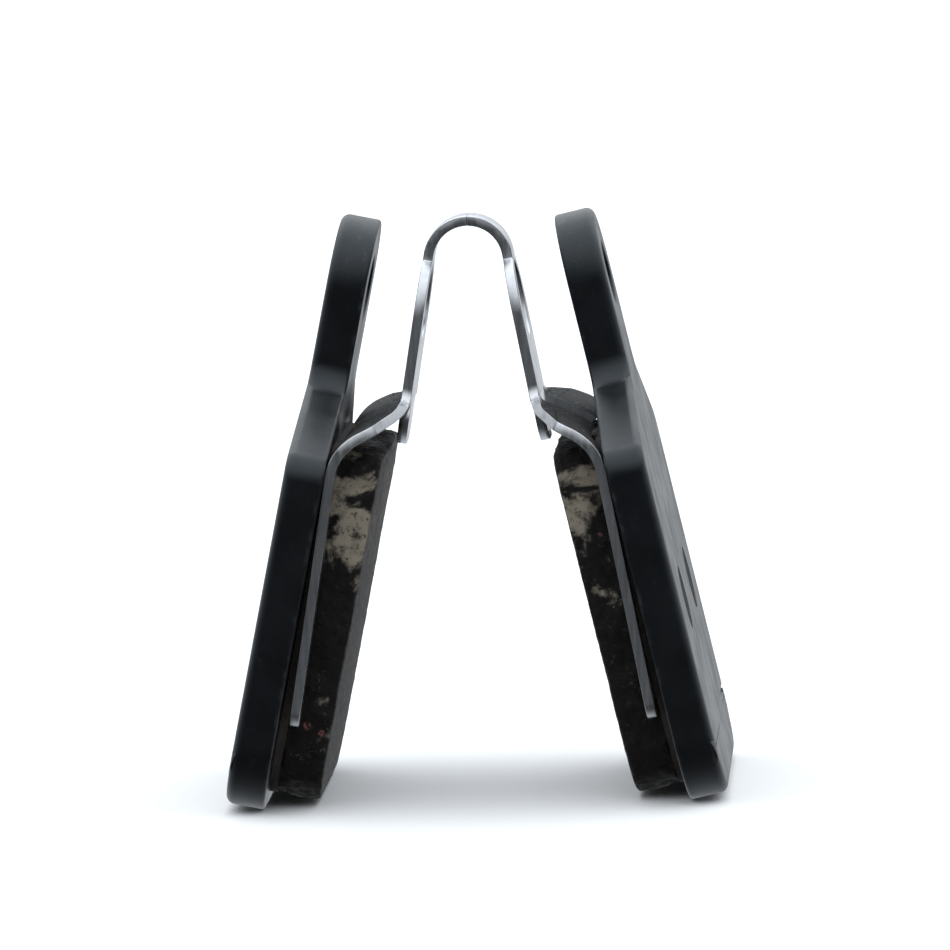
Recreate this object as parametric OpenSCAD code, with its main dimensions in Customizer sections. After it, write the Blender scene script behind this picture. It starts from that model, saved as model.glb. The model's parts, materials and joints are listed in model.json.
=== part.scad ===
// Set of two bicycle disc brake pads with their return spring, splayed as it rests in the hand.
// X is the rotor axle, Y runs across the width of the pads, +Z points up to the tabs.
// The set stands on the bottom edges of its two backing plates, centred on the origin.

/* [Splay] */
// Angle that each pad leans inwards at its top while nothing presses the set (degrees)
lean = 12.3; // [11.5:0.1:13]
// Distance from the middle of the set to the inner bottom edge of a plate
foot_half = 10.65; // [10.5:0.05:11]

/* [Backing plate] */
// Width of the plate
plate_w = 22; // [21.8:0.1:24]
// Height of the plate with its tab
plate_h = 29.5; // [29.2:0.1:30]
// Thickness of the plate
plate_t = 2; // [1.8:0.1:2.2]
// Height of the straight sides of the plate
side_h = 18.3; // [18:0.1:18.6]
// Height at which the sloping shoulders meet the tab
shoulder_h = 20.6; // [20:0.1:21.2]
// Width of the tab
tab_w = 7; // [6.4:0.1:8]
// Diameter of the hole for the retaining pin
pin_hole_d = 3.4; // [3.2:0.1:3.6]
// Radius of the lower corners
corner_r = 3.4; // [2.5:0.1:4]
// Diameter of the two holes that key the friction block
key_d = 3.2; // [2:0.1:4]
// Height of the marking groove in the back of the plate
groove_h = 3; // [2.8:0.1:4]
// Depth of the marking groove
groove_t = 0.4; // [0.2:0.05:0.5]

/* [Friction block] */
// Width of the friction block
block_w = 17; // [16:0.1:17.2]
// Height of the friction block
block_h = 17.8; // [16:0.1:17.8]
// Thickness of the friction block
block_t = 2.2; // [1:0.1:2.2]
// Thickness of the bond layer between block and plate
bond_t = 0.4; // [0.2:0.1:0.5]
// Distance from the bottom of the plate to the block
block_foot = 0.7; // [0.6:0.1:0.8]

/* [Spring] */
// Thickness of the spring sheet
sheet_t = 0.5; // [0.4:0.05:0.5]
// Radius of the half-round crown, to the middle of the sheet
crown_r = 2; // [1.95:0.05:2.15]
// Height of the middle of the crown
crown_z = 26.75; // [26.5:0.05:27]
// Width of the sheet over the crown
crown_w = 2.7; // [2.4:0.1:3]
// Width of the legs
leg_w = 6.2; // [6:0.1:6.6]
// Angle of the legs to the vertical (degrees)
leg_lean = 10; // [9.7:0.1:10.4]
// Distance from the middle of the crown down to where the arms touch the plates
touch_drop = 11; // [10.8:0.1:11.2]
// Angle by which the shoulders leave the legs (degrees)
slope = 56; // [52:1:60]
// Middle radius of the bend between leg and shoulder
upper_r = 0.8; // [0.6:0.1:1]
// Middle radius of the bend between shoulder and arm
lower_r = 2.6; // [2.2:0.1:2.8]
// Width across both arms
arms_w = 20.8; // [20.6:0.1:21]
// Width of one arm
arm_w = 1.6; // [1.4:0.1:1.7]
// Distance from the middle of the crown down to the ends of the arms
arm_end = 23.6; // [20:0.1:24.5]
// Distance from the middle of the crown down to the end of the tongue
tongue_end = 9.7; // [9:0.1:9.7]
// Width of the tongue
tongue_w = 3.8; // [3.4:0.1:3.8]
// Width of the window in each leg that lets the retaining pin through
pin_window_w = 3.9; // [3.8:0.1:4]

/* [Hidden] */
$fn = 96;
eps = 0.01;
hole_h = plate_h - tab_w / 2;
// Where the middle of the crown lies in the frame of a pad
crown_gap = foot_half * cos(lean) - crown_z * sin(lean);
crown_h = foot_half * sin(lean) + crown_z * cos(lean);
// Where the retaining pin passes a leg
pin_drop = crown_h - hole_h;
// Middle line of an arm, in the frame of a leg, so that the arm touches its plate
arm_s = (crown_gap + touch_drop * sin(lean - leg_lean)) / cos(lean - leg_lean) - sheet_t / 2;
// Straight part of a shoulder, and length of the leg above it
link_l = (arm_s - crown_r - (upper_r + lower_r) * (1 - cos(slope))) / sin(slope);
leg_l = touch_drop - (upper_r + lower_r) * sin(slope) - link_l * cos(slope);
// Where the shoulders flare out, how far their upper edges fall, and the fillets there
flare_drop = leg_l + 0.25;
flare_fall = 9;
flare_r = 1.4;
stem_r = 0.8;
// Where the gap between the arms begins
web_end = 9.5;
slit = 0.25;

// Points of an arc about c, from angle a0 to a1; the step follows the turn
function arc(c, r, a0, a1) =
    let (n = ceil(abs(a1 - a0) / 7.5))
    [for (i = [0 : n]) c + r * [cos(a0 + (a1 - a0) * i / n), sin(a0 + (a1 - a0) * i / n)]];

// The points mirrored about the vertical axis, in reverse order
function flipped(pts) = [for (i = [len(pts) - 1 : -1 : 0]) [-pts[i][0], pts[i][1]]];

// Shape that is the same on both sides, from the points of its right half
module both_sides(pts) {
    polygon(concat(pts, flipped(pts)));
}

// Right half of a rectangle w wide from height h0 to h1, corner radii r0 below and r1 above
function half_box(w, h0, h1, r0, r1) = concat(
    arc([w / 2 - r0, h0 + r0], r0, -90, 0),
    arc([w / 2 - r1, h1 - r1], r1, 0, 90));

// Outline of a backing plate: body, sloping shoulders and tab
module plate_outline() {
    neck_r = 1.6;
    corner = 1.5;
    // The shoulders slope from the side corners up to the fillets at the tab
    fall = atan2(shoulder_h - side_h + 0.2, plate_w / 2 - tab_w / 2 - neck_r - corner / 2);
    difference() {
        both_sides(concat(
            arc([plate_w / 2 - corner_r, corner_r], corner_r, -90, 0),
            arc([plate_w / 2 - corner, side_h - corner], corner, 0, 90 - fall),
            arc([tab_w / 2 + neck_r, shoulder_h + neck_r], neck_r, -90 - fall, -180),
            arc([0, hole_h], tab_w / 2, 0, 90)));
        translate([0, hole_h]) circle(d = pin_hole_d);
        key_holes();
    }
}

// The two holes that key the friction block to its plate
module key_holes() {
    for (side = [-1, 1]) translate([side * 4.6, block_foot + block_h / 2]) circle(d = key_d);
}

// Marking groove that runs from the middle of the back to the edge, low on the plate
module marking_groove() {
    mouth = groove_t + 0.2;
    translate([plate_t, plate_w, groove_h]) rotate([90, 0, 0]) linear_extrude(plate_w - 3)
        polygon([[-groove_t, 0], [0.2, -mouth * 0.6], [0.2, mouth * 0.6]]);
}

// Slab of thickness t whose outline lies across a pad, from depth x0 outwards
module slab(x0, t) {
    translate([x0, 0, 0]) rotate([90, 0, 90]) linear_extrude(t) children();
}

// Puts a pad, drawn upright with its inner face at x = 0, in its splayed place on one side
module pad_place(side) {
    mirror([side < 0 ? 1 : 0, 0, 0]) translate([foot_half, 0, 0]) rotate([0, -lean, 0]) children();
}

// Puts a leg, drawn upright below the middle of the crown, in its place on one side
module leg_place(side) {
    mirror([side < 0 ? 1 : 0, 0, 0]) translate([0, 0, crown_z]) rotate([0, -leg_lean, 0]) children();
}

module backing_plate(side) {
    color([0.07, 0.075, 0.09]) pad_place(side) difference() {
        slab(0, plate_t) plate_outline();
        marking_groove();
    }
}

module block_outline() {
    both_sides(half_box(block_w, block_foot, block_foot + block_h, 2.8, 2));
}

module bond_layer(side) {
    color([0.3, 0.26, 0.2]) pad_place(side) slab(-bond_t, bond_t) difference() {
        block_outline();
        key_holes();
    }
}

module friction_block(side) {
    color([0.2, 0.18, 0.16]) pad_place(side) union() {
        slab(-bond_t - block_t, block_t) block_outline();
        // Plugs moulded through the bond layer into the plate
        slab(-bond_t - eps, bond_t + plate_t + eps) key_holes();
    }
}

// One face of the sheet of a leg, its shoulder and an arm, k = 1 outside and -1 inside
function side_face(k) =
    let (half = k * sheet_t / 2)
    concat([[crown_r + half, 0]],
           arc([crown_r + upper_r, -leg_l], upper_r - half, 180, 180 + slope),
           arc([arm_s - lower_r, -touch_drop], lower_r + half, slope, 0),
           [[arm_s + half, -arm_end]]);

// Face view of a leg with its shoulders and arms
module side_outline() {
    gap_r = 1.4;
    // Middle of the outer corner, so that the upper edge runs on into the fillet at the leg
    corner_y = arms_w / 2 - flare_r;
    corner_z = ((leg_w / 2 + stem_r - corner_y) * sin(flare_fall)
                + (stem_r - flare_drop) * cos(flare_fall) - stem_r - flare_r) / cos(flare_fall);
    eye_turn = acos(crown_w / leg_w);
    opening_w = tongue_w + 2 * slit;
    difference() {
        both_sides(concat(
            arc([arms_w / 2 - arm_w - gap_r, -web_end - gap_r], gap_r, 90, 0),
            arc([(arms_w - arm_w) / 2, arm_w / 2 - arm_end], arm_w / 2, -180, 0),
            arc([corner_y, corner_z], flare_r, 0, 90 - flare_fall),
            arc([leg_w / 2 + stem_r, stem_r - flare_drop], stem_r, -90 - flare_fall, -180),
            arc([0, -leg_w / 2], leg_w / 2, 0, eye_turn),
            [[crown_w / 2, 0]]));
        // Opening that the tongue leaves
        translate([-opening_w / 2, -web_end - 1]) square([opening_w, web_end + 1 - leg_l]);
    }
}

// Flat strip that starts inside the leg and goes on straight down as the tongue
module tongue() {
    translate([crown_r - sheet_t / 2, 0, 0]) rotate([90, 0, 90]) linear_extrude(sheet_t)
        both_sides(half_box(tongue_w, -tongue_end, 1.8 - leg_l, 1.2, 0.6));
}

module side_profile() {
    outside = side_face(1);
    inside = side_face(-1);
    polygon(concat(outside, [for (i = [len(inside) - 1 : -1 : 0]) inside[i]]));
}

module spring_side(side) {
    color([0.8, 0.81, 0.83]) leg_place(side) difference() {
        union() {
            intersection() {
                rotate([90, 0, 0]) linear_extrude(plate_w, center = true)
                    side_profile();
                rotate([90, 0, 90]) linear_extrude(foot_half) side_outline();
            }
            tongue();
        }
        // Window that lets the retaining pin through
        translate([0, 0, -pin_drop]) rotate([0, 90, 0]) cylinder(d = pin_window_w, h = foot_half);
    }
}

module spring_bow() {
    color([0.8, 0.81, 0.83]) translate([0, 0, crown_z]) rotate([90, 0, 0])
        linear_extrude(crown_w, center = true) difference() {
            circle(r = crown_r + sheet_t / 2);
            circle(r = crown_r - sheet_t / 2);
            polygon([[0, 0], 4 * crown_r * [cos(leg_lean), sin(leg_lean)], crown_r * [4, -4],
                     crown_r * [-4, -4], 4 * crown_r * [-cos(leg_lean), sin(leg_lean)]]);
        }
}

spring_bow();
spring_side(-1);  // left_spring_side
spring_side(1);  // right_spring_side
backing_plate(-1);  // left_backing_plate
backing_plate(1);  // right_backing_plate
bond_layer(-1);  // left_bond_layer
bond_layer(1);  // right_bond_layer
friction_block(-1);  // left_friction_block
friction_block(1);  // right_friction_block
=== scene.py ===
# %% [markdown]
# # Two disc brake pads and their return spring
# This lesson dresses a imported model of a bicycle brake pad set. Two steel plates with
# pressed friction blocks lean against each other like the letter A, and a bent strip
# of spring steel holds them apart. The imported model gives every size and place, so
# the first step loads it and keeps its outer box.

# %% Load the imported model
import json
import math
import bmesh
import bpy
from mathutils import Matrix, Vector, noise


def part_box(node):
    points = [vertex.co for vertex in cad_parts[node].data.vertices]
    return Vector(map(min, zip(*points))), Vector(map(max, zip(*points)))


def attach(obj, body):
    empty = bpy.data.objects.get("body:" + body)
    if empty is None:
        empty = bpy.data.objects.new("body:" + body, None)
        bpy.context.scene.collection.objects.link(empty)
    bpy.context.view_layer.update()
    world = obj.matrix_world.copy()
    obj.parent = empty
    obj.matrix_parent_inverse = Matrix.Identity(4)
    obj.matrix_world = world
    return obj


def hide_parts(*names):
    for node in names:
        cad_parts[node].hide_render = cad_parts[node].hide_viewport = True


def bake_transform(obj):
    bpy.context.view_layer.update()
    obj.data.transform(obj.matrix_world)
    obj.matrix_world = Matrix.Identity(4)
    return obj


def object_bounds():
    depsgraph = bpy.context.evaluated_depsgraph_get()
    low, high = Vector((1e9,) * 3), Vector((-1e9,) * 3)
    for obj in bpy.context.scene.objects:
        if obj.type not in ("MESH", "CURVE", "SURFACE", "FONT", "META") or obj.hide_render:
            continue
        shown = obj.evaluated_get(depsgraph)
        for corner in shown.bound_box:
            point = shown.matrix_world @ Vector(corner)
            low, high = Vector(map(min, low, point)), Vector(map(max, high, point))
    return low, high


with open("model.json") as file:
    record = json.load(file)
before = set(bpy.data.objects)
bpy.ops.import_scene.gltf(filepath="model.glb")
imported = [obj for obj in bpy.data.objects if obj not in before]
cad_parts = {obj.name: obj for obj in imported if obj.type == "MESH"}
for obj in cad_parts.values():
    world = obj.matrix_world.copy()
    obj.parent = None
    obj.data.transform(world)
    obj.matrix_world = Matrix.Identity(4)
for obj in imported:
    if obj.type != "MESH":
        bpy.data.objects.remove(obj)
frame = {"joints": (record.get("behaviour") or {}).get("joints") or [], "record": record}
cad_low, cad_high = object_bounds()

mm = 0.001
print("set, width by depth by height in mm:",
      [round((b - a) / mm, 2) for a, b in zip(cad_low, cad_high)])

# %% [markdown]
# ## Where a pad stands
# Both pads are alike, so each piece is modelled once, upright, with the plate's inner
# face on the plane X = 0 and its lower edge on the floor, and then leaned over into
# its place. The record states the piston face of each pad with its outward normal,
# which gives the lean; the box of the plate gives the distance from the middle.

# %% Lean and place of a pad
plate_t = 2.0 * mm
mounts = {m["name"]: m for m in frame["record"]["mounts"]}
outward = Vector(mounts["right_piston_face"]["axis"])
lean = math.atan2(outward.z, outward.x)
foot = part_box("right_backing_plate")[1].x - plate_t * math.cos(lean)
pad_to_set = Matrix.Translation((foot, 0, 0)) @ Matrix.Rotation(-lean, 4, "Y")
SIDES = {"left": -1, "right": 1}
print("lean", round(math.degrees(lean), 2), "degrees, foot at", round(foot / mm, 2), "mm")

# %% [markdown]
# ## Small helpers for the bench
# An operator works on whatever is selected. These helpers clear the selection, open a
# piece for editing, and pick its points, edges or faces by a rule about their place.

# %% Selecting and editing
def clear_selection():
    """Nothing selected, in object mode."""
    if bpy.context.object and bpy.context.object.mode != "OBJECT":
        bpy.ops.object.mode_set(mode="OBJECT")
    bpy.ops.object.select_all(action="DESELECT")


def take(obj):
    """Make obj the only selected and active object."""
    clear_selection()
    obj.select_set(True)
    bpy.context.view_layer.objects.active = obj
    return obj


def open_edit(obj):
    take(obj)
    bpy.ops.object.mode_set(mode="EDIT")


def close_edit():
    bpy.ops.object.mode_set(mode="OBJECT")


def pick(obj, kind, rule):
    """In edit mode, select only the elements for which rule says yes."""
    bpy.ops.mesh.select_mode(type=kind)
    bpy.ops.mesh.select_all(action="DESELECT")
    mesh = bmesh.from_edit_mesh(obj.data)
    parts = {"VERT": mesh.verts, "EDGE": mesh.edges, "FACE": mesh.faces}[kind]
    count = 0
    for part in parts:
        if rule(part):
            part.select_set(True)
            count += 1
    bmesh.update_edit_mesh(obj.data)
    return count


def middle(edge):
    return (edge.verts[0].co + edge.verts[1].co) / 2


def along_x(edge):
    """An edge that runs through the thickness of a pad."""
    a, b = edge.verts[0].co, edge.verts[1].co
    return abs(a.y - b.y) < 1e-6 and abs(a.z - b.z) < 1e-6


def near(value, target, slack=0.02 * mm):
    return abs(value - target) < slack


# %% Modifiers and cutters
def apply_modifier(obj, kind, **settings):
    """Add a modifier, set it up and apply it."""
    take(obj)
    bpy.ops.object.modifier_add(type=kind)
    modifier = obj.modifiers[-1]
    for name, value in settings.items():
        setattr(modifier, name, value)
    bpy.ops.object.modifier_apply(modifier=modifier.name)


def cut(obj, cutter, operation="DIFFERENCE"):
    """Cut obj with a closed cutter, and throw the cutter away."""
    apply_modifier(obj, "BOOLEAN", operation=operation, solver="EXACT", object=cutter)
    bpy.data.objects.remove(cutter)


def rod(radius, length, at, points=64):
    """A round bar along X, with its middle at the given place."""
    clear_selection()
    bpy.ops.mesh.primitive_cylinder_add(vertices=points, radius=radius, depth=length,
                                        location=at, rotation=(0, math.pi / 2, 0))
    bpy.ops.object.transform_apply(location=True, rotation=True, scale=True)
    return bpy.context.object


def bar(size, at):
    """A box of the given size, with its middle at the given place."""
    clear_selection()
    bpy.ops.mesh.primitive_cube_add(size=1, location=at, scale=size)
    bpy.ops.object.transform_apply(location=True, rotation=True, scale=True)
    return bpy.context.object


def smooth(obj, degrees=32):
    """Smooth shading that keeps corners, with flat faces kept flat."""
    take(obj)
    bpy.ops.object.shade_smooth_by_angle(angle=math.radians(degrees))
    apply_modifier(obj, "WEIGHTED_NORMAL", weight=80, keep_sharp=True)


def place_copy(obj, name, side, place, corner=32):
    """A smooth copy of a piece, put in its place on one side of the set."""
    take(obj)
    bpy.ops.object.duplicate()
    piece = bpy.context.object
    piece.name = name
    piece.data.name = name
    piece.data.transform(Matrix.Scale(side, 4, (1, 0, 0)) @ place)
    if side < 0:
        open_edit(piece)
        bpy.ops.mesh.select_all(action="SELECT")
        bpy.ops.mesh.flip_normals()
        close_edit()
    smooth(piece, corner)
    return piece


# %% [markdown]
# ## The backing plate
# The plate is stamped from 2 mm steel: a square body with round lower corners, two
# sloping shoulders, and a tab with a hole for the retaining pin. It could be a curve
# with a thickness, but a box drawn up in steps shows each width and height plainly,
# and its corner edges can then be rounded one group at a time.

# %% Draw up the plate from a box
plate_w = 22 * mm
plate_h = 29.5 * mm
side_top = 17.8 * mm
neck = 21.2 * mm
tab_w = 7 * mm
foot_r = 3.4 * mm
side_bevel = 0.97 * mm
neck_bevel = 1.03 * mm
tab_bevel = tab_w / 2 - 0.02 * mm

plate = bar((plate_t, plate_w, side_top), (plate_t / 2, 0, side_top / 2))
plate.name = "plate"
open_edit(plate)
pick(plate, "FACE", lambda f: f.normal.z > 0.9)
bpy.ops.mesh.extrude_region_move(TRANSFORM_OT_translate={"value": (0, 0, neck - side_top)})
bpy.ops.transform.resize(value=(1, tab_w / plate_w, 1), center_override=(plate_t / 2, 0, neck))
bpy.ops.mesh.extrude_region_move(TRANSFORM_OT_translate={"value": (0, 0, plate_h - neck)})


def round_corners(obj, offset, segments, height, half_width):
    """Round the edges through the thickness that stand at one height and half width."""
    found = pick(obj, "EDGE", lambda e: along_x(e) and near(middle(e).z, height)
                 and near(abs(middle(e).y), half_width))
    bpy.ops.mesh.bevel(offset=offset, segments=segments, affect="EDGES", profile=0.5,
                       clamp_overlap=False)
    return found


corners = [round_corners(plate, foot_r, 12, 0, plate_w / 2),
           round_corners(plate, side_bevel, 8, side_top, plate_w / 2),
           round_corners(plate, neck_bevel, 10, neck, tab_w / 2),
           round_corners(plate, tab_bevel, 20, plate_h, tab_w / 2)]
print("corner edges rounded on the plate:", corners)

# %% [markdown]
# Stamping pulls the rim of the back face round and leaves the inner face almost
# sharp, so the two rims get different bevels. They come before the holes, while the
# faces are still simple.

# %% Rims of the plate
def bevel_rim(obj, face_x, width, segments):
    """Round the rim of the flat face that lies at depth face_x."""
    pick(obj, "FACE", lambda f: abs(f.normal.x) > 0.99 and near(f.calc_center_median().x, face_x))
    bpy.ops.mesh.region_to_loop()
    bpy.ops.mesh.bevel(offset=width, segments=segments, affect="EDGES", profile=0.5)


back_rim = 0.42 * mm
inner_rim = 0.16 * mm
bevel_rim(plate, plate_t, back_rim, 5)
bevel_rim(plate, 0, inner_rim, 3)

# %% [markdown]
# A marking groove runs low across the back, from near the middle to the edge. Scored
# lines give it its own points, and the middle one is then pressed in to the depth of
# the groove. The outermost two keep its shading off the wide flat back.

# %% Marking groove
def score(axis, at):
    """Add points all round, where the plane across one axis cuts the open piece."""
    normal = Vector((0, 0, 0))
    normal[axis] = 1
    bpy.ops.mesh.select_all(action="SELECT")
    bpy.ops.mesh.bisect(plane_co=normal * at, plane_no=normal, threshold=1e-7)


groove_z = 3.0 * mm
groove_t = 0.4 * mm
groove_half = 0.24 * mm
groove_start = 3.0 * mm
groove_guard = 0.4 * mm
for step in (-groove_guard, -groove_half, 0, groove_half, groove_guard):
    score(2, groove_z + step)
score(1, groove_start)
score(1, groove_start + groove_t)
groove_floor = plate_t - groove_t
pressed = pick(plate, "VERT", lambda v: near(v.co.z, groove_z, 0.001 * mm)
               and v.co.y > groove_start + groove_t / 2 and v.co.x > groove_floor)
bpy.ops.transform.resize(value=(0, 1, 1), center_override=(groove_floor, 0, 0))
close_edit()
print("points pressed into the groove:", pressed)

# %% [markdown]
# The pin hole in the tab and the two holes that key the friction block are cut with
# round bars.

# %% Holes of the plate
pin_z = plate_h - tab_w / 2
pin_hole_r = 1.7 * mm
key_r = 1.6 * mm
plate_cut = 6 * mm
block_foot = 0.7 * mm
block_h = 17.8 * mm
key_y = 4.6 * mm
key_z = block_foot + block_h / 2

cut(plate, rod(pin_hole_r, plate_cut, (plate_t / 2, 0, pin_z)))
for y in (-key_y, key_y):
    cut(plate, rod(key_r, plate_cut, (plate_t / 2, y, key_z)))


def pin_hole_rim(edge):
    """A sharp edge that runs round the pin hole, on either face."""
    out = math.hypot(middle(edge).y, middle(edge).z - pin_z)
    return (len(edge.link_faces) == 2 and edge.calc_face_angle() > math.radians(50)
            and near(out, pin_hole_r, 0.03 * mm) and not along_x(edge))


open_edit(plate)
pick(plate, "EDGE", pin_hole_rim)
bpy.ops.mesh.bevel(offset=0.12 * mm, segments=3, affect="EDGES", profile=0.5)
close_edit()
print("plate:", len(plate.data.polygons), "faces")

# %% [markdown]
# ## The friction block
# The block is pressed from resin, fibres, minerals and copper chips. Its rubbing face
# is worn flat, and its sides stay as coarse as they left the mould. A cube with
# rounded corners is remeshed into small even squares, which the Displace modifier can
# then push in and out, once for broad waves and once for grain.

# %% Block with rounded corners, and its two plugs
bond_t = 0.4 * mm
block_t = 2.2 * mm
block_w = 17 * mm
block_top = block_foot + block_h
block_rim = 0.22 * mm
key_gap = 0.01 * mm
key_short = 0.2 * mm


def round_block(obj):
    """The wide lower and the narrower upper corners that block and bond layer share."""
    round_corners(obj, 2.8 * mm, 10, block_foot, block_w / 2)
    round_corners(obj, 2.0 * mm, 10, block_top, block_w / 2)


block = bar((block_t, block_w, block_h), (-bond_t - block_t / 2, 0, key_z))
block.name = "block"
open_edit(block)
round_block(block)
bevel_rim(block, -bond_t - block_t, block_rim, 2)
close_edit()
for y in (-key_y, key_y):
    plug = rod(key_r - key_gap, bond_t + plate_t + key_short,
               ((plate_t - bond_t - key_short) / 2, y, key_z))
    cut(block, plug, "UNION")
apply_modifier(block, "REMESH", mode="VOXEL", voxel_size=0.14 * mm, adaptivity=0)

# %% [markdown]
# Only the part that sticks out of the plate may be rough. A group of points says how
# much: all of it on the sides, a little on the rubbing face, and none on the plugs.

# %% Coarse sides
rough = block.vertex_groups.new(name="rough")
face_x = -bond_t - block_t
on_face = [v.co.x < face_x + 0.05 * mm for v in block.data.vertices]
for v in block.data.vertices:
    behind_bond = v.co.x > -bond_t - 0.03 * mm
    share = 0.0 if behind_bond else 0.2 if on_face[v.index] else 1.0
    rough.add([v.index], share, "REPLACE")
ground = block.data.attributes.new("ground", "FLOAT", "POINT")
ground.data.foreach_set("value", [float(flat) for flat in on_face])


def grain(name, size, depth):
    """A cloudy noise for the Displace modifier."""
    texture = bpy.data.textures.new(name, "CLOUDS")
    texture.noise_scale = size
    texture.noise_depth = depth
    return texture


waves = grain("mould waves", 1.3 * mm, 2)
pits = grain("coarse pits", 0.38 * mm, 3)
for texture, strength in ((waves, 0.26 * mm), (pits, 0.2 * mm)):
    apply_modifier(block, "DISPLACE", texture=texture, texture_coords="LOCAL",
                   strength=strength, mid_level=0.62, vertex_group="rough")
print("block:", len(block.data.polygons), "faces")

# %% [markdown]
# ## Bond layer
# Between block and plate lies a thin layer that creeps out a little at its edge. It
# could be painted on, but a slab with a wavy edge shows the joint from every side.

# %% Bond layer
bond = bar((bond_t, block_w, block_h), (-bond_t / 2, 0, key_z))
bond.name = "bond"
open_edit(bond)
round_block(bond)
pick(bond, "EDGE", lambda e: not along_x(e) and e.calc_length() > 5 * mm)
bpy.ops.mesh.subdivide(number_cuts=48)
pick(bond, "EDGE", along_x)
bpy.ops.mesh.subdivide(number_cuts=2)
close_edit()
fine_creep = 1900
broad_creep = 700
for v in bond.data.vertices:
    out = Vector((0, v.co.y, v.co.z - key_z))
    creep = noise.noise(v.co * fine_creep) * 0.6 + noise.noise(v.co * broad_creep) * 0.4
    v.co += out.normalized() * (creep * 0.09 - 0.04) * mm
bond_cut = 2 * mm
for y in (-key_y, key_y):
    cut(bond, rod(key_r, bond_cut, (-bond_t / 2, y, key_z)))
print("bond:", len(bond.data.polygons), "faces")

# %% [markdown]
# ## The return spring
# The spring is one strip of half-millimetre stainless sheet. It leaves the press as a
# flat blank and is then bent: half a circle over the top, a straight leg, a shoulder
# that leans out, and two long arms that lie on the plate. A tongue is lanced out of
# the shoulder and stays straight. The same order works here. First comes the flat
# blank, cut to its outline, with rows of points across it wherever it will bend; then
# every point is moved along the bend. Each half of the spring is its own piece.

# %% Sizes of the spring, downwards from the middle of the crown
sheet_t = 0.5 * mm
crown_r = 2.0 * mm
crown_w = 2.7 * mm
leg_w = 6.2 * mm
arms_w = 20.8 * mm
arm_w = 1.6 * mm
upper_r = 0.8 * mm
lower_r = 2.6 * mm
slope = math.radians(56)
leg_lean = math.radians(10)
crown_at = Vector(frame["joints"][0]["pos_m"])
touch = 11.0 * mm
arm_end = 23.6 * mm

in_pad = pad_to_set.inverted() @ crown_at
arm_x = ((abs(in_pad.x) + touch * math.sin(lean - leg_lean)) / math.cos(lean - leg_lean)
         - sheet_t / 2)
link = ((arm_x - crown_r - (upper_r + lower_r) * (1 - math.cos(slope))) / math.sin(slope))
leg_l = touch - (upper_r + lower_r) * math.sin(slope) - link * math.cos(slope)
print("leg", round(leg_l / mm, 2), "mm, shoulder", round(link / mm, 2),
      "mm, arm middle at", round(arm_x / mm, 2), "mm")

# %% [markdown]
# The bend is written as a path: at each distance down the leg it gives the place of
# the middle of the sheet, and the angle at which the sheet runs there.

# %% Path of the bent strip
crown_turn = math.pi / 2 - leg_lean
drop_a = leg_l
drop_b = leg_l + upper_r * math.sin(slope)
drop_c = touch - lower_r * math.sin(slope)


def strip_at(drop):
    """Place across and height of the middle of the sheet, and how far its outer face tilts up."""
    if drop < 0:
        turn = -drop / crown_r
        return crown_r * math.cos(turn), crown_r * math.sin(turn), turn
    if drop < drop_a:
        return crown_r, -drop, 0.0
    if drop < drop_b:
        angle = math.asin((drop - drop_a) / upper_r)
        return crown_r + upper_r * (1 - math.cos(angle)), -drop, angle
    start = crown_r + upper_r * (1 - math.cos(slope))
    if drop < drop_c:
        return start + (drop - drop_b) * math.tan(slope), -drop, slope
    if drop < touch:
        angle = math.asin((touch - drop) / lower_r)
        return arm_x - lower_r * (1 - math.cos(angle)), -drop, angle
    return arm_x, -drop, 0.0


rows = [-crown_r * crown_turn * i / 36 for i in range(36, -1, -1)]
rows += [leg_l * i / 10 for i in range(1, 11)]
rows += [drop_a + upper_r * math.sin(slope * i / 8) for i in range(1, 9)]
rows += [drop_b + (drop_c - drop_b) * i / 4 for i in range(1, 5)]
rows += [touch - lower_r * math.sin(slope * (12 - i) / 12) for i in range(1, 13)]
rows += [touch + (arm_end - touch) * i / 14 for i in range(1, 15)]
print(len(rows), "rows of points down the strip")


# %% Flat blank with its rows
def sheet_with_rows(levels, width):
    """A flat slab in the plane X = 0, with a row of points across it at each level."""
    low, high = levels[0], levels[-1]
    slab = bar((sheet_t, width, high - low), (0, 0, -(low + high) / 2))
    open_edit(slab)
    for level in levels[1:-1]:
        score(2, -level)
    close_edit()
    return slab


def prism(outline, depth):
    """A closed bar along X, centred on X = 0, from a list of (y, z) points."""
    mesh = bpy.data.meshes.new("prism")
    points = [(-depth / 2, y, z) for y, z in outline]
    mesh.from_pydata(points, [], [list(range(len(points)))])
    obj = bpy.data.objects.new("prism", mesh)
    bpy.context.scene.collection.objects.link(obj)
    open_edit(obj)
    bpy.ops.mesh.select_all(action="SELECT")
    bpy.ops.mesh.extrude_region_move(TRANSFORM_OT_translate={"value": (depth, 0, 0)})
    bpy.ops.mesh.select_all(action="SELECT")
    bpy.ops.mesh.normals_make_consistent(inside=False)
    close_edit()
    return obj


def arc(y, z, radius, start, end, steps=12):
    """Points of an arc, angles in degrees."""
    turn = [math.radians(start + (end - start) * i / steps) for i in range(steps + 1)]
    return [(y + radius * math.cos(a), z + radius * math.sin(a)) for a in turn]


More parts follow.
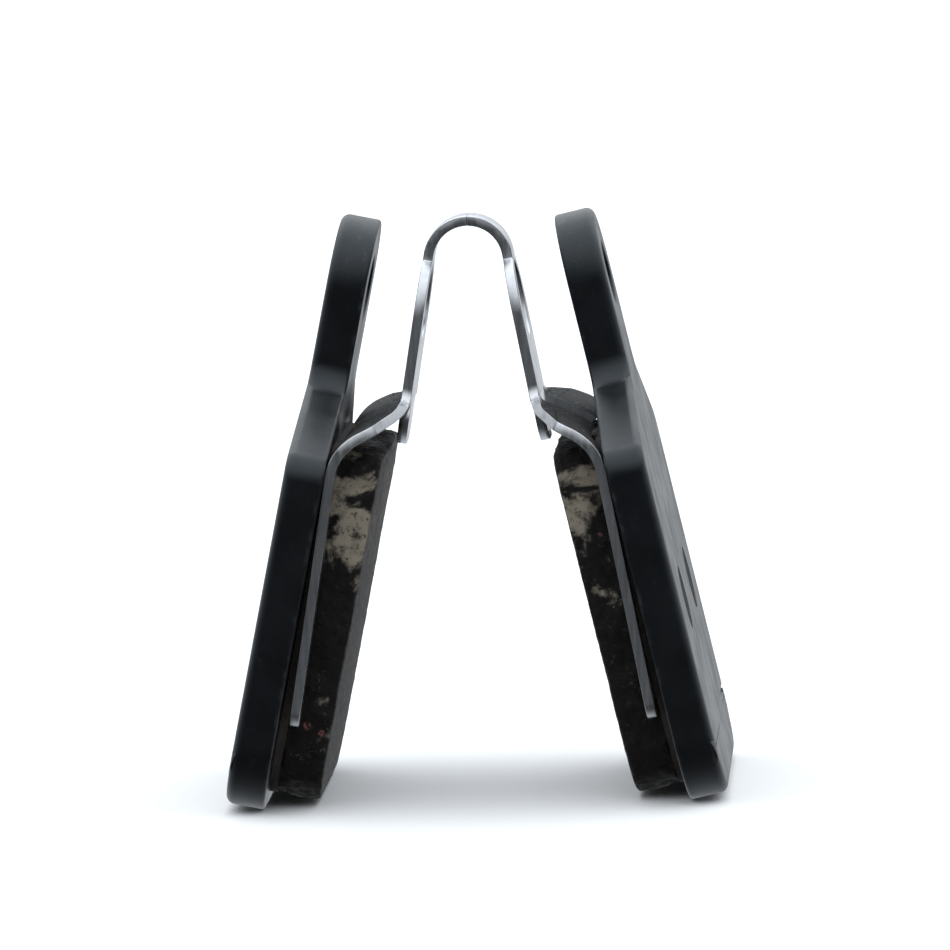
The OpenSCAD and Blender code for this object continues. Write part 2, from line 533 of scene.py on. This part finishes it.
web_end = 9.5 * mm
flare_r = 1.4 * mm
stem_r = 0.8 * mm
gap_r = 1.4 * mm
flare = leg_l + 0.25 * mm
fall = math.radians(9)
corner_y = arms_w / 2 - flare_r
corner_z = ((leg_w / 2 + stem_r - corner_y) * math.sin(fall) + (stem_r - flare) * math.cos(fall)
            - stem_r - flare_r) / math.cos(fall)
eye = math.degrees(math.acos(crown_w / leg_w))
half = arc(arms_w / 2 - arm_w - gap_r, -web_end - gap_r, gap_r, 90, 0)
half += arc((arms_w - arm_w) / 2, arm_w / 2 - arm_end, arm_w / 2, -180, 0)
half += arc(corner_y, corner_z, flare_r, 0, 90 - math.degrees(fall))
half += arc(leg_w / 2 + stem_r, stem_r - flare, stem_r, -90 - math.degrees(fall), -180)
half += arc(0, -leg_w / 2, leg_w / 2, 0, eye)
past_crown = 6 * mm
sheet_cut = 4 * mm
half += [(crown_w / 2, 0.6 * mm), (crown_w / 2, past_crown)]
blank = sheet_with_rows(rows, arms_w + 2 * mm)
blank.name = "blank"
cut(blank, prism(half + [(-y, z) for y, z in reversed(half)], sheet_cut), "INTERSECT")

# %% [markdown]
# The tongue leaves a slot in the shoulder, and the retaining pin passes through a
# round window in the leg. Both are cut while the blank is flat.

# %% Slot and pin window
tongue_w = 3.8 * mm
slit = 0.25 * mm
slot_end = web_end + 1 * mm
cut(blank, bar((sheet_cut, tongue_w + 2 * slit, slot_end - leg_l),
               (0, 0, -(slot_end + leg_l) / 2)))
pin_drop = in_pad.z - pin_z
pin_window_r = 1.95 * mm
cut(blank, rod(pin_window_r, sheet_cut, (0, 0, -pin_drop)))
print("blank:", len(blank.data.polygons), "faces, window", round(pin_drop / mm, 2), "mm down")

# %% [markdown]
# While the blank is flat, its faces and its sheared edges are easy to tell apart, so
# each gets its own place in the material list. The outer face of the shoulder is coloured
# near black, and a value on the points says how much.

# %% Mark the faces, the sheared edges and the darkened shoulder
INNER, SHEARED, OUTER = 0, 1, 2
for face in blank.data.polygons:
    flat = abs(face.normal.x) > 0.5
    face.material_index = (OUTER if face.normal.x > 0 else INNER) if flat else SHEARED


def shoulder_dark_at(drop):
    """Rises over the bend below the leg, and fades where the arms lie on the plate."""
    rise = (drop - drop_a) / (0.5 * mm)
    fall = (touch + 0.6 * mm - drop) / (0.8 * mm)
    return max(0.0, min(1.0, rise, fall))


shoulder_dark_values = [shoulder_dark_at(-v.co.z) for v in blank.data.vertices]
shoulder_dark = blank.data.attributes.new("shoulder_dark", "FLOAT", "POINT")
shoulder_dark.data.foreach_set("value", shoulder_dark_values)

# %% Bend the blank
for v in blank.data.vertices:
    across, height, tilt = strip_at(-v.co.z)
    through = v.co.x
    v.co = (across + through * math.cos(tilt), v.co.y, height + through * math.sin(tilt))
blank.data.update()

# %% [markdown]
# The tongue starts inside the leg, goes straight on, and ends in rounded corners.

# %% Tongue
tongue_end = 9.7 * mm
tongue_start = leg_l - 0.3 * mm
tongue_thin = 0.004 * mm
tongue = bar((sheet_t - tongue_thin, tongue_w, tongue_end - tongue_start),
             (crown_r, 0, -(tongue_end + tongue_start) / 2))
open_edit(tongue)
round_corners(tongue, 1.2 * mm, 8, -tongue_end, tongue_w / 2)
close_edit()
cut(blank, tongue, "UNION")

# %% [markdown]
# A narrow bevel takes the sharpness off every sheared edge, as tumbling does.

# %% Ease the edges
open_edit(blank)
bpy.ops.mesh.select_all(action="SELECT")
bpy.ops.mesh.remove_doubles(threshold=0.012 * mm)
close_edit()
apply_modifier(blank, "BEVEL", width=0.05 * mm, segments=2, limit_method="ANGLE",
               angle_limit=math.radians(50), use_clamp_overlap=False)
strip_to_set = Matrix.Translation(crown_at) @ Matrix.Rotation(-leg_lean, 4, "Y")


# %% [markdown]
# ## Materials
# Every finish is built from noise on the piece's own coordinates, so it looks the
# same from all sides. A few helpers keep the node trees short.

# %% Node helpers
class Finish:
    """A material with one Principled shader, and short calls for the usual nodes."""

    def __init__(self, name, **sockets):
        self.material = bpy.data.materials.new(name)
        self.material.use_nodes = True
        self.tree = self.material.node_tree
        self.shader = self.tree.nodes["Principled BSDF"]
        for key, value in sockets.items():
            self.shader.inputs[key.replace("_", " ")].default_value = value
        self.place = self.node("ShaderNodeTexCoord").outputs["Object"]

    def node(self, kind, **settings):
        """A new node of one kind, with its settings."""
        node = self.tree.nodes.new(kind)
        for key, value in settings.items():
            setattr(node, key, value)
        return node

    def link(self, source, target):
        """Join a source to a socket, or set the socket if the source is a plain value."""
        if isinstance(source, (int, float, tuple)):
            target.default_value = source
        else:
            self.tree.links.new(source, target)

    def stretched(self, scale):
        """The piece's coordinates, scaled so that a pattern is drawn out along an axis."""
        mapping = self.node("ShaderNodeMapping")
        mapping.inputs["Scale"].default_value = scale
        self.link(self.place, mapping.inputs["Vector"])
        return mapping.outputs["Vector"]

    def noise(self, size, detail=3.0, rough=0.55, distort=0.0, place=None):
        """Noise with patches of about the given size, from 0 to 1."""
        node = self.node("ShaderNodeTexNoise")
        node.inputs["Scale"].default_value = 1 / size
        node.inputs["Detail"].default_value = detail
        node.inputs["Roughness"].default_value = rough
        node.inputs["Distortion"].default_value = distort
        self.link(place or self.place, node.inputs["Vector"])
        return node.outputs["Fac"]

    def cells(self, size):
        """Cells of about the given size; Distance and Color tell them apart."""
        node = self.node("ShaderNodeTexVoronoi", feature="F1")
        node.inputs["Scale"].default_value = 1 / size
        self.link(self.place, node.inputs["Vector"])
        return node

    def ramp(self, value, low, high, start=0.0, end=1.0):
        """Value stretched so that low gives start and high gives end, and clamped."""
        node = self.node("ShaderNodeMapRange", interpolation_type="SMOOTHSTEP")
        for socket, number in zip(("From Min", "From Max", "To Min", "To Max"),
                                  (low, high, start, end)):
            node.inputs[socket].default_value = number
        self.link(value, node.inputs["Value"])
        return node.outputs["Result"]

    def math(self, operation, a, b=0.0):
        node = self.node("ShaderNodeMath", operation=operation)
        self.link(a, node.inputs[0])
        self.link(b, node.inputs[1])
        return node.outputs[0]

    def mix(self, amount, a, b):
        """Colour a where amount is 0, and b where it is 1."""
        node = self.node("ShaderNodeMix", data_type="RGBA")
        self.link(amount, node.inputs["Factor"])
        self.link(a, node.inputs[6])
        self.link(b, node.inputs[7])
        return node.outputs[2]

    def axis(self, index):
        """One coordinate of the piece: 0 for X, 1 for Y, 2 for Z."""
        node = self.node("ShaderNodeSeparateXYZ")
        self.link(self.place, node.inputs[0])
        return node.outputs[index]

    def edges(self, width):
        """Near 1 on corners and rims, 0 on open faces."""
        rounded = self.node("ShaderNodeBevel", samples=6)
        rounded.inputs["Radius"].default_value = width
        plain = self.node("ShaderNodeNewGeometry")
        dot = self.node("ShaderNodeVectorMath", operation="DOT_PRODUCT")
        self.link(rounded.outputs["Normal"], dot.inputs[0])
        self.link(plain.outputs["Normal"], dot.inputs[1])
        return self.ramp(dot.outputs["Value"], 0.999, 0.93)

    def bump(self, *layers):
        """Bumps from (height, distance, strength) triples, laid on each other."""
        last = None
        for height, distance, strength in layers:
            node = self.node("ShaderNodeBump")
            node.inputs["Distance"].default_value = distance
            node.inputs["Strength"].default_value = strength
            self.link(height, node.inputs["Height"])
            if last is not None:
                self.link(last, node.inputs["Normal"])
            last = node.outputs["Normal"]
        self.link(last, self.shader.inputs["Normal"])

    def base(self, colour):
        self.link(colour, self.shader.inputs["Base Color"])

    def roughness(self, value):
        self.link(value, self.shader.inputs["Roughness"])


# %% [markdown]
# ### Black coating of the plates
# The coating is a thin semi-gloss black with a touch of blue. It has a fine orange
# peel, dull fingerprints, dust on top, and rims rubbed down to grey.

# %% Coating
coat = Finish("black coating", Specular_IOR_Level=0.5, Specular_Tint=(0.86, 0.94, 1.0, 1))
rim = coat.edges(0.22 * mm)
rubbed = coat.math("MULTIPLY", rim, coat.ramp(coat.noise(0.9 * mm, 5, 0.7), 0.46, 0.68))
scuff = coat.ramp(coat.noise(0.45 * mm, 6, 0.8, 0.8, coat.stretched((1, 1, 0.6))), 0.6, 0.7)
high = coat.ramp(coat.axis(2), 25.5 * mm, 28.8 * mm)
scuffed = coat.math("MULTIPLY", scuff, coat.math("ADD", coat.math("MULTIPLY", high, 0.7), 0.12))
tint = coat.mix(coat.noise(4 * mm, 3), (0.0012, 0.0014, 0.002, 1), (0.003, 0.0035, 0.005, 1))
worn = coat.mix(coat.math("MULTIPLY", rubbed, 0.55), tint, (0.16, 0.165, 0.175, 1))
coat.base(coat.mix(coat.math("MULTIPLY", scuffed, 0.5), worn, (0.2, 0.21, 0.22, 1)))
coat.roughness(coat.math("ADD", coat.ramp(coat.noise(2.2 * mm, 5), 0.3, 0.7, 0.3, 0.42),
                         coat.math("MULTIPLY", scuffed, 0.2)))
coat.bump((coat.noise(0.16 * mm, 2), 0.006 * mm, 0.55),
          (coat.noise(0.9 * mm, 3), 0.02 * mm, 0.5))

# %% [markdown]
# ### Friction compound
# The compound is a dark brown-grey mass with tan and olive mineral patches, pale
# fibres, black pits and a few chips of copper. The rubbing face is ground grey. The mass
# colours are set darker still, as painted shade on the sides between the pads. The tan
# patches gather in a band below the top of the block as painted light, and thin out at
# the top edge as painted shade.

# %% Compound
compound = Finish("friction compound", Specular_IOR_Level=0.25)
ground_face = compound.node("ShaderNodeAttribute", attribute_name="ground").outputs["Fac"]
# Painted shade: the mass colours are set darker than the compound's own, to stand for the shade on the
# block's sides between the pads.
mass = compound.mix(compound.noise(0.8 * mm, 4), (0.0018, 0.0014, 0.0014, 1), (0.009, 0.007, 0.007, 1))
# Painted light and shade: upper adds tan patches in a band from about 12 to 17 mm up, where light
# falls, and fewer at the top edge, where the spring's shadow falls.
upper = compound.math("MULTIPLY", compound.ramp(compound.axis(2), 11 * mm, 13.5 * mm, 0.0, 0.17),
                      compound.ramp(compound.axis(2), 17.4 * mm, 16.2 * mm, 0.3, 1.0))
mineral_and_painted_light = compound.ramp(compound.math("ADD", compound.noise(2.4 * mm, 5, 0.6, 0.4), upper),
                        0.62, 0.72)
mass = compound.mix(compound.math("MULTIPLY", mineral_and_painted_light, 0.9), mass, (0.2, 0.175, 0.135, 1))
fibre = compound.ramp(compound.noise(0.3 * mm, 3, 0.5, 2.0, compound.stretched((1, 0.25, 1))),
                      0.64, 0.72)
mass = compound.mix(compound.math("MULTIPLY", fibre, 0.2), mass, (0.17, 0.155, 0.13, 1))
worn_grey = compound.mix(compound.noise(0.5 * mm, 5, 0.7), (0.05, 0.047, 0.046, 1),
                         (0.11, 0.105, 0.1, 1))
mass = compound.mix(compound.math("MULTIPLY", ground_face, 0.8), mass, worn_grey)
chips = compound.cells(0.75 * mm)
chip_here = compound.math("MULTIPLY", compound.ramp(chips.outputs["Distance"], 0.36, 0.22),
                          compound.ramp(chips.outputs["Color"], 0.86, 0.88))
chip_here = compound.math("MULTIPLY", chip_here,
                          compound.ramp(compound.noise(0.16 * mm, 3, 0.6), 0.44, 0.54))
mass = compound.mix(chip_here, mass, (0.22, 0.085, 0.08, 1))
pit = compound.ramp(compound.noise(0.22 * mm, 4, 0.7), 0.44, 0.34)
compound.base(compound.mix(compound.math("MULTIPLY", pit, 0.8), mass, (0.002, 0.0018, 0.0016, 1)))
compound.roughness(compound.ramp(compound.noise(0.4 * mm, 3), 0.3, 0.7, 0.62, 0.9))
compound.link(compound.math("MULTIPLY", chip_here, 0.6), compound.shader.inputs["Metallic"])
compound.bump((compound.noise(0.12 * mm, 4, 0.7), 0.03 * mm, 0.7),
              (compound.noise(0.5 * mm, 3), 0.05 * mm, 0.5))

# %% [markdown]
# ### Bond layer and spring
# The bond layer is a matt brown-grey. The spring is bright rolled stainless, with the
# rolling lines running down the strip, and the outer side of its shoulders coloured near
# black with light scratches. The sheared edges are duller and are not darkened.

# %% Bond
glue = Finish("bond layer", Roughness=0.8, Specular_IOR_Level=0.25)
glue.base(glue.mix(glue.noise(0.5 * mm, 4), (0.012, 0.01, 0.009, 1), (0.05, 0.042, 0.036, 1)))
glue.bump((glue.noise(0.18 * mm, 3), 0.03 * mm, 0.6))

# %% Spring steel, and its sheared edges
def spring_steel(name, dark, light, dull, dark_shoulder=False):
    """Rolled stainless between two greys; dull is added to its roughness."""
    steel = Finish(name, Metallic=1.0)
    rolled = steel.noise(0.2 * mm, 3, 0.5, 0.0, steel.stretched((1, 1, 0.06)))
    stain = steel.ramp(steel.noise(1.7 * mm, 5, 0.6), 0.45, 0.7)
    colour = steel.mix(stain, steel.mix(rolled, dark, light), dark)
    rough = steel.math("ADD", steel.ramp(rolled, 0.3, 0.7, dull, dull + 0.08),
                       steel.math("MULTIPLY", stain, 0.06))
    if dark_shoulder:
        # The outer face of the shoulder is coloured near black with light scratches, as far as the
        # value on the points says.
        shoulder_dark = steel.node("ShaderNodeAttribute", attribute_name="shoulder_dark").outputs["Fac"]
        scratch = steel.ramp(steel.noise(0.3 * mm, 4, 0.7, 1.5, steel.stretched((1, 0.4, 1))),
                             0.62, 0.7, 0.98, 0.35)
        dark_with_scratches = steel.math("MULTIPLY", shoulder_dark, scratch)
        colour = steel.mix(dark_with_scratches, colour, (0.002, 0.002, 0.0025, 1))
        rough = steel.math("MAXIMUM", rough, steel.math("MULTIPLY", dark_with_scratches, 0.8))
        steel.link(steel.ramp(dark_with_scratches, 0, 0.9, 1, 0.0), steel.shader.inputs["Metallic"])
        steel.shader.inputs["Specular IOR Level"].default_value = 0.2
    steel.base(colour)
    steel.roughness(rough)
    steel.bump((rolled, 0.004 * mm, 0.25),
               (steel.noise(0.14 * mm, 4, 0.7), 0.02 * mm, 0.15))
    return steel


BRIGHT = (0.42, 0.43, 0.46, 1), (0.7, 0.71, 0.74, 1)
inner_steel = spring_steel("bright spring steel", *BRIGHT, 0.2)
outer_steel = spring_steel("spring steel with a darkened shoulder", *BRIGHT, 0.2, dark_shoulder=True)
edge_steel = spring_steel("sheared spring edge", (0.42, 0.43, 0.45, 1), (0.7, 0.715, 0.74, 1), 0.3)


def wear(obj, *finishes):
    """Give a piece its finishes, in the order of its material list."""
    indices = [face.material_index for face in obj.data.polygons]
    obj.data.materials.clear()
    for finish in finishes:
        obj.data.materials.append(finish.material)
    obj.data.polygons.foreach_set("material_index", indices)


# %% [markdown]
# ## Assembly
# Each finished piece takes the place of its plain solid and gets its finishes. The
# pieces of each pad ride on that pad's body. Each half of the spring is set in place
# from the middle of the crown.

# %% Put the pads together
for label, side in SIDES.items():
    for model, node, slot, finish in ((plate, "backing_plate", "plate", coat),
                                      (bond, "bond_layer", "bond", glue),
                                      (block, "friction_block", "friction", compound)):
        piece = place_copy(model, f"{label}_{model.name}", side, pad_to_set,
                           corner=80 if model is block else 32)
        wear(piece, finish)
        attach(piece, f"{label}_pad")
        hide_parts(f"{label}_{node}")

# %% Put the spring in
for label, side in SIDES.items():
    piece = place_copy(blank, f"{label}_spring", side, strip_to_set, corner=48)
    wear(piece, inner_steel, edge_steel, outer_steel)
    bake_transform(piece)
    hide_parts(f"{label}_spring_side", "spring_bow")

for model in (plate, bond, block, blank):
    bpy.data.objects.remove(model)

# %% [markdown]
# ## Floor, light and camera
# The set stands on a plain pale floor in soft light. Most of it comes from above
# and behind, so black coating looks deep from the front and grey on top. The
# background itself is plain white, whatever the light.

# %% Floor
clear_selection()
bpy.ops.mesh.primitive_plane_add(size=6, location=(0, 0, 0))
floor = bpy.context.object
floor.name = "floor"
pale = Finish("pale floor", Roughness=0.9, Specular_IOR_Level=0.1)
pale.base(pale.mix(pale.noise(30 * mm, 3), (0.87, 0.87, 0.88, 1), (0.9, 0.9, 0.905, 1)))
wear(floor, pale)
floor.visible_glossy = False

# %% Soft light from above and behind
world = bpy.data.worlds.new("soft room")
bpy.context.scene.world = world
world.use_nodes = True
sky = world.node_tree
sky_light = sky.nodes["Background"]
direction = sky.nodes.new("ShaderNodeTexCoord").outputs["Generated"]
parts = sky.nodes.new("ShaderNodeSeparateXYZ")
sky.links.new(direction, parts.inputs[0])


def sky_ramp(source, low, high, start, end):
    node = sky.nodes.new("ShaderNodeMapRange")
    node.interpolation_type = "SMOOTHSTEP"
    for socket, number in zip(("From Min", "From Max", "To Min", "To Max"),
                              (low, high, start, end)):
        node.inputs[socket].default_value = number
    sky.links.new(source, node.inputs["Value"])
    return node.outputs["Result"]


def sky_sum(operation, a, b):
    node = sky.nodes.new("ShaderNodeMath")
    node.operation = operation
    sky.links.new(a, node.inputs[0])
    sky.links.new(b, node.inputs[1])
    return node.outputs[0]


behind = sky_ramp(parts.outputs["Y"], -0.8, 0.8, 0.06, 0.85)
above = sky_ramp(parts.outputs["Z"], 0.0, 0.9, 0.0, 1.5)
sky.links.new(sky_sum("ADD", behind, above), sky_light.inputs["Strength"])
sky_light.inputs["Color"].default_value = (0.92, 0.965, 1.0, 1)
backdrop = sky.nodes.new("ShaderNodeBackground")
seen = sky.nodes.new("ShaderNodeLightPath").outputs["Is Camera Ray"]
either = sky.nodes.new("ShaderNodeMixShader")
sky.links.new(seen, either.inputs["Fac"])
sky.links.new(sky_light.outputs[0], either.inputs[1])
sky.links.new(backdrop.outputs[0], either.inputs[2])
sky.links.new(either.outputs[0], sky.nodes["World Output"].inputs["Surface"])
backdrop.inputs["Color"].default_value = (1, 1, 1, 1)

# %% Camera
eye_height = (cad_high[2] + cad_low[2]) / 2
aim = Vector((-0.03 * mm, 0, eye_height + 1.15 * mm))
azimuth, elevation, roll = math.radians(2.9), math.radians(5.5), math.radians(-1.75)
distance = 450 * mm
camera = bpy.data.objects.new("camera", bpy.data.cameras.new("camera"))
bpy.context.scene.collection.objects.link(camera)
camera.data.lens = 336.8
camera.data.sensor_width = 36
camera.data.clip_start = 0.01
turn = Matrix.Rotation(azimuth, 4, "Z") @ Matrix.Rotation(math.pi / 2 - elevation, 4, "X")
camera.matrix_world = (Matrix.Translation(aim) @ turn @ Matrix.Translation((0, 0, distance))
                       @ Matrix.Rotation(roll, 4, "Z"))
bpy.context.scene.camera = camera
bpy.context.scene.view_settings.view_transform = "Standard"
